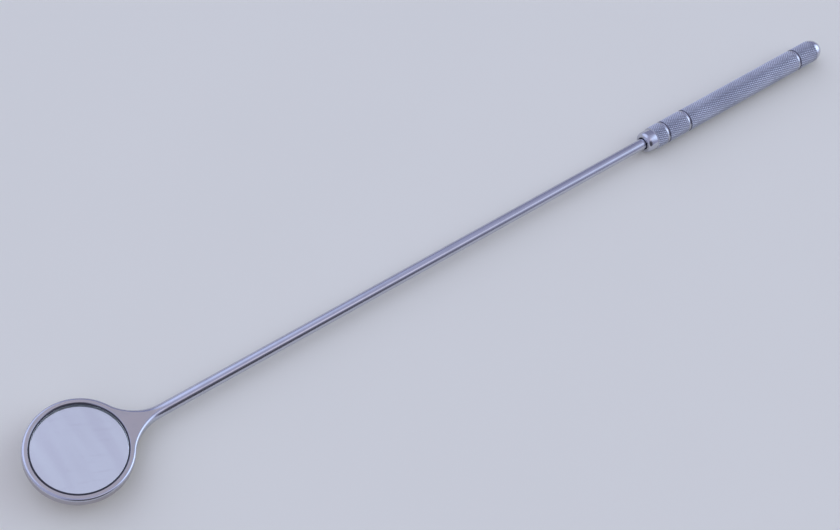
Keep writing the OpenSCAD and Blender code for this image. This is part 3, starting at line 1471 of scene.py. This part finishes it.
@dataclass
class Handle:
    """The knurled grip with its nose bush and its tail plug.

    Attributes:
        r: Radius of the grip.
        bore_r: Radius of the grip's bore.
        grooves: Places of the turned grooves along the axis.
        groove_w: Width of a groove.
        groove_deep: Depth of a groove.
        chamfer: Length of the bevel at each end of the grip.
        knurl: The grip's knurling.
        groove_steps: How many steps there are across a groove.
        unshaded_share: Share of a groove's width up to which no shade is painted; past it, on the
            groove's tail side, the painted shade lies.
        end_drop: How far the plain ends of the grip lie under the roots.
        end_bevel: Bevel on those ends.
        gland_r: Radius of the gland in the nose.
        gland_l: Depth of the gland.
        guide_r: Radius of the bore that guides the shaft.
        shoulder: Depth of the bore's shoulder behind the nose.
        socket_r: Radius of the screw socket.
        lip_r: Radius of the flat lip around the mouth.
        nose_l: Length of the rounded nose.
        collar_r: Radius of the smooth collar.
        collar_l: Length of the collar.
        dome_r: Radius of the tail's dome.
        dome_l: Length of the dome.
        body: The body that the handle belongs to.
    """

    r: float = 6.35
    bore_r: float = 4.75
    grooves: tuple[float, ...] = (-58.0, -42.5, 42.5)
    groove_w: float = 2.1
    groove_deep: float = 0.45
    chamfer: float = 0.3
    knurl: Knurl = Knurl(crest_r=6.35, depth=0.34, around=29, pitch=1.95, flat=0.3)
    groove_steps: int = 14
    unshaded_share: float = 0.72
    end_drop: float = 0.06
    end_bevel: float = 0.1
    gland_r: float = 3.55
    gland_l: float = 4.0
    guide_r: float = 3.05
    shoulder: float = 10.0
    socket_r: float = 2.55
    lip_r: float = 4.45
    nose_l: float = 2.3
    collar_r: float = 5.85
    collar_l: float = 3.9
    dome_r: float = 6.23
    dome_l: float = 6.6
    body: str = "handle"

    NOSE_STEPS = 14
    DOME_STEPS = 24

    def build_grip(self, knurled: KnurledSteel, turned: Steel, groove_shade_finish: Filler) -> None:
        """Builds the hollow grip with its knurled bands and turned grooves.

        Args:
            knurled: Finish of the bands.
            turned: Finish of the grooves, the ends and the bore.
            groove_shade_finish: Finish of the steep tail-side walls of the grooves: a near-black
                colour painted there as shade.
        """
        start, end = span("grip_sleeve")
        half = self.groove_w / 2
        edges = [start + self.chamfer]
        for groove in self.grooves:
            edges += [groove - half, groove + half]
        edges.append(end - self.chamfer)
        skin = Skin()
        parity = 0
        end_r = self.r - self.knurl.depth - self.end_drop
        turns = self.knurl.edge_turns(parity)
        first_bore = skin.add(around(start, self.bore_r, turns))
        previous = first_bore
        for x, r in ((start, end_r - self.end_bevel), (start + self.end_bevel, end_r)):
            row = skin.add(around(x, r, turns))
            skin.band(previous, row, 1)
            previous = row
        for i in range(0, len(edges), 2):
            first, last, parity = self.knurl.band(skin, edges[i], edges[i + 1], parity)
            # On a groove's tail-side wall this band takes finish 2, the painted shade.
            skin.band(previous, first, 2 if i else 1)
            turns = self.knurl.edge_turns(parity)
            previous = last
            if i + 2 < len(edges):
                middle = (edges[i + 1] + edges[i + 2]) / 2
                limits = self.knurl.edge_radii()
                rows = self._groove(middle)
                # Rows on the groove's tail side take finish 2, the painted shade.
                for k, (x, r) in enumerate(rows):
                    row = skin.add(around(x, np.minimum(r, limits), turns))
                    skin.band(previous, row, 2 if k > len(rows) * self.unshaded_share else 1)
                    previous = row
        back = ((end - self.end_bevel, end_r), (end, end_r - self.end_bevel), (end, self.bore_r))
        for x, r in back:
            row = skin.add(around(x, r, turns))
            skin.band(previous, row, 1)
            previous = row
        skin.band(previous, first_bore, 1)
        finishes = [knurled.material(), turned.material(), groove_shade_finish.material()]
        piece = skin.piece("knurled_sleeve", ROW, finishes)
        show(piece, self.body, ["grip_sleeve"])

    def _groove(self, middle: float) -> list[tuple[float, float]]:
        """Places and radii across a turned groove, whose section is an arc.

        Args:
            middle: The groove's middle.

        Returns:
            The rows.
        """
        half, deep = self.groove_w / 2, self.groove_deep
        tool_r = (half**2 + deep**2) / (2 * deep)
        rows = []
        for k in range(1, self.groove_steps):
            along = half * (2 * k / self.groove_steps - 1)
            rows.append((middle + along, self.r - deep + tool_r - math.sqrt(tool_r**2 - along**2)))
        return rows

    def build_nose(self, finish: Steel) -> None:
        """Builds the bush with its rounded nose, collar, gland, guide and thread.

        Args:
            finish: The bush's finish.
        """
        nose, back = span("nose_bush")
        collar = nose + self.nose_l
        step = collar + self.collar_l
        inside_r = self.bore_r - HAIR
        dome = quarter_ellipse((nose, self.lip_r), (collar, self.collar_r), self.NOSE_STEPS)
        corners = [
            Corner(nose, self.gland_r, 0.08),
            *dome,
            Corner(step, self.collar_r, 0.05),
            Corner(step, inside_r),
            Corner(back, inside_r, 0.2),
            Corner(back, self.socket_r, 0.1),
            Corner(nose + self.shoulder, self.socket_r),
            Corner(nose + self.shoulder, self.guide_r),
            Corner(nose + self.gland_l, self.guide_r),
            Corner(nose + self.gland_l, self.gland_r),
        ]
        piece = turned_piece("nose_ferrule", ROW, rounded(corners), BUSH_SIDES, finish)
        show(piece, self.body, ["nose_bush"])

    def build_tail(self, finish: Steel) -> None:
        """Builds the plug with its polished dome.

        Args:
            finish: The plug's finish.
        """
        front, tip = span("tail_plug")
        foot = tip - self.dome_l
        inside_r = self.bore_r - HAIR
        corners = [
            Corner(front, 0),
            Corner(front, inside_r, 0.3),
            Corner(foot, inside_r),
            *reversed(quarter_ellipse((tip, 0.0), (foot, self.dome_r), self.DOME_STEPS)),
        ]
        piece = turned_piece("domed_tail", ROW, rounded(corners), BUSH_SIDES, finish)
        show(piece, self.body, ["tail_plug"])

    def build(self) -> None:
        """Builds and dresses the whole handle."""
        turned = Steel(
            name="turned_steel_ends",
            tint=ROD_TINT,
            dull=ROD_DULL,
            roughness=0.14,
            dulling=0.06,
            grain=Grain.TURNED,
            grain_size=0.3,
            grain_depth=0.003,
        )
        grooves = Steel(
            name="turned_steel_grooves",
            tint=ROD_TINT,
            dull=(0.52, 0.52, 0.54),
            roughness=0.22,
            dulling=0.08,
            grain=Grain.TURNED,
            grain_size=0.2,
            grain_depth=0.004,
        )
        # The dark root colour is painted shade in the knurl's hollows
        knurled = KnurledSteel(
            name="knurled_steel_grip",
            crest=(0.80, 0.82, 0.90),
            root=(0.30, 0.31, 0.38),
            crest_r=self.knurl.crest_r,
            depth=self.knurl.depth,
            roughness=0.34,
            root_roughness=0.5,
        )
        # Painted shade: a near-black colour laid on the grooves' tail-side walls in place of the
        # shade in them.
        groove_shade_colour = (0.075, 0.075, 0.11)
        groove_shade_finish = Filler("painted_groove_shade", groove_shade_colour, (0.12, 0.12, 0.16), 0.5, 0.3, 0.01)
        self.build_nose(turned)
        self.build_grip(knurled, grooves, groove_shade_finish)
        self.build_tail(turned)


# ---------------------------------------------------------------- the studio


@dataclass(frozen=True)
class SoftBox:
    """A soft light that shines on the row's middle.

    Attributes:
        name: Its name.
        towards: Direction to it from what it lights.
        away: How far it is.
        size: Its length and width.
        radiance: How bright its face is.
        colour: The colour of its light.
    """

    name: str
    towards: Triple
    away: float
    size: tuple[float, float]
    radiance: float
    colour: Tint

    def build(self, aim: Vector) -> None:
        """Adds the light.

        Args:
            aim: What it shines on.
        """
        lamp = bpy.data.lights.new(self.name, "AREA")
        lamp.shape = "RECTANGLE"
        lamp.size, lamp.size_y = self.size
        lamp.energy = self.radiance * math.pi * self.size[0] * self.size[1]
        lamp.color = self.colour
        made = bpy.data.objects.new(self.name, lamp)
        back = Vector(self.towards).normalized()
        along = Vector((1, 0, 0))
        along = (along - back * along.dot(back)).normalized()
        up = back.cross(along)
        turn = Matrix((along, up, back)).transposed().to_4x4()
        made.matrix_world = Matrix.Translation(aim + back * self.away) @ turn
        bpy.context.scene.collection.objects.link(made)


@dataclass(frozen=True)
class SkyPatch:
    """A wide, soft patch of the sky.

    Attributes:
        towards: Direction to its middle.
        inner: Angle from its middle up to which it is full.
        outer: Angle from which it is gone.
        colour: What it adds to the sky, or for a shade what share of the sky it takes away.
    """

    towards: Triple
    inner: float
    outer: float
    colour: Tint


class Sky(NodeTree):
    """The node tree of the surroundings."""

    def tinted(self, patch: SkyPatch) -> bpy.types.NodeSocket:
        """A patch's colour times how far the direction that is looked in lies inside it.

        Args:
            patch: The patch.

        Returns:
            The colour.
        """
        direction = self.node("ShaderNodeTexCoord", {}, {}).outputs["Generated"]
        middle = tuple(Vector(patch.towards).normalized())
        low, high = (math.cos(math.radians(angle)) for angle in (patch.outer, patch.inner))
        share = self.dot(direction, middle).between(low, high)
        return self.vector("MULTIPLY", share, patch.colour)

    def build(self, plain: Tint, shades: Sequence[SkyPatch], glows: Sequence[SkyPatch]) -> None:
        """Builds the whole tree.

        Args:
            plain: The sky's colour between its patches.
            shades: Patches that take away a share of it.
            glows: Patches that add to it.
        """
        radiance = self.vector("ADD", plain, (0.0, 0.0, 0.0))
        for patch in shades:
            kept = self.vector("SUBTRACT", ALIKE, self.tinted(patch))
            radiance = self.vector("MULTIPLY", radiance, kept)
        for patch in glows:
            radiance = self.vector("ADD", radiance, self.tinted(patch))
        back = self.node("ShaderNodeBackground", {}, {0: radiance})
        self.node("ShaderNodeOutputWorld", {}, {0: back.outputs[0]})


@dataclass(frozen=True)
class Studio:
    """The floor, the lights, the surroundings and the camera.

    Attributes:
        azimuth: The camera's azimuth.
        elevation: The camera's elevation.
        roll: How far the camera is rolled.
        camera: The camera's place.
        lens: The camera's focal length, for a sensor of the usual width.
        floor_drop: How far the floor lies below the lowest point.
        floor_half: Half the floor's width, in metres.
        floor_tones: The two colours that the floor varies between.
        sky: Colour of the sky between its patches.
        shades: Patches where the sky is darker.
        glows: Patches where it is lighter.
    """

    azimuth: float = -49.328
    elevation: float = 61.399
    roll: float = 16.674
    camera: Triple = (-458.8, -203.7, 575.7)
    lens: float = 55.71
    floor_drop: float = 0.02
    floor_half: float = 4.0
    floor_tones: tuple[Tint, Tint] = ((0.92, 0.89, 0.76), (0.94, 0.91, 0.78))
    sky: Tint = (0.50, 0.515, 0.705)
    shades: tuple[SkyPatch, ...] = (
        SkyPatch((-0.10, -0.93, 0.35), 18.0, 46.0, (0.82, 0.83, 0.85)),
        SkyPatch((0.72, 0.62, 0.30), 22.0, 44.0, (0.34, 0.34, 0.30)),
    )
    glows: tuple[SkyPatch, ...] = (
        SkyPatch((-0.25, 0.70, 0.67), 22.0, 43.0, (0.42, 0.50, 0.68)),
        SkyPatch((0.85, -0.25, 0.46), 12.0, 34.0, (0.72, 0.92, 1.18)),
        SkyPatch((0.20, -0.40, 0.89), 4.0, 15.0, (0.26, 0.20, 0.14)),
        SkyPatch((0.38, -0.36, 0.85), 4.0, 14.0, (0.32, 0.32, 0.34)),
    )

    FLOOR_SCALE = 0.01
    FLOOR_DETAIL = 2.0
    SENSOR_WIDTH = 36.0
    CLIP_START = 0.005

    def build_camera(self) -> None:
        """Adds the scene's camera."""
        a, e, roll = (math.radians(v) for v in (self.azimuth, self.elevation, self.roll))
        back = Vector((math.sin(a) * math.cos(e), -math.cos(a) * math.cos(e), math.sin(e)))
        level = Vector((math.cos(a), math.sin(a), 0))
        upright = back.cross(level)
        right = level * math.cos(roll) + upright * math.sin(roll)
        up = back.cross(right)
        data = bpy.data.cameras.new("camera")
        data.lens = self.lens
        data.sensor_width = self.SENSOR_WIDTH
        data.clip_start = self.CLIP_START
        made = bpy.data.objects.new("camera", data)
        turn = Matrix((right, up, back)).transposed().to_4x4()
        made.matrix_world = Matrix.Translation(Vector(self.camera) * MM) @ turn
        bpy.context.scene.collection.objects.link(made)
        bpy.context.scene.camera = made

    def build_floor(self) -> None:
        """Adds a plain pale floor under the row."""
        low, _ = CAD_BOX
        half = self.floor_half
        z = low.z - self.floor_drop * MM
        mesh = bpy.data.meshes.new("floor")
        corners = [(-half, -half, z), (half, -half, z), (half, half, z), (-half, half, z)]
        mesh.from_pydata(corners, [], [(0, 1, 2, 3)])
        tree = FinishTree("floor")
        tone = tree.noise(tree.place(), self.FLOOR_SCALE, self.FLOOR_DETAIL)
        tree.surface(
            base_color=tree.blended(tone, *self.floor_tones),
            roughness=0.9,
            specular_ior_level=0.1,
        )
        mesh.materials.append(tree.material)
        made = bpy.data.objects.new("floor", mesh)
        bpy.context.scene.collection.objects.link(made)

    def build_world(self) -> None:
        """Surrounds the row with a soft sky, lighter and darker in a few wide patches."""
        world = bpy.data.worlds.new("surroundings")
        bpy.context.scene.world = world
        world.use_nodes = True
        Sky(world.node_tree).build(self.sky, self.shades, self.glows)

    def build(self) -> None:
        """Builds the whole studio."""
        self.build_floor()
        self.build_world()
        low, high = CAD_BOX
        fill = SoftBox("fill_box", (0.95, -0.20, 0.40), 2.0, (1.2, 0.8), 0.4, (0.86, 0.94, 1.0))
        fill.build((low + high) / 2)
        self.build_camera()
        bpy.context.scene.view_settings.view_transform = "Standard"


def main() -> None:
    """Builds the mirror from its head to its tail, and the studio round it."""
    logging.basicConfig(level=logging.INFO, format="%(name)s: %(message)s")
    MirrorHead().build()
    Shaft().build()
    Handle().build()
    Studio().build()


if __name__ == "__main__":
    main()
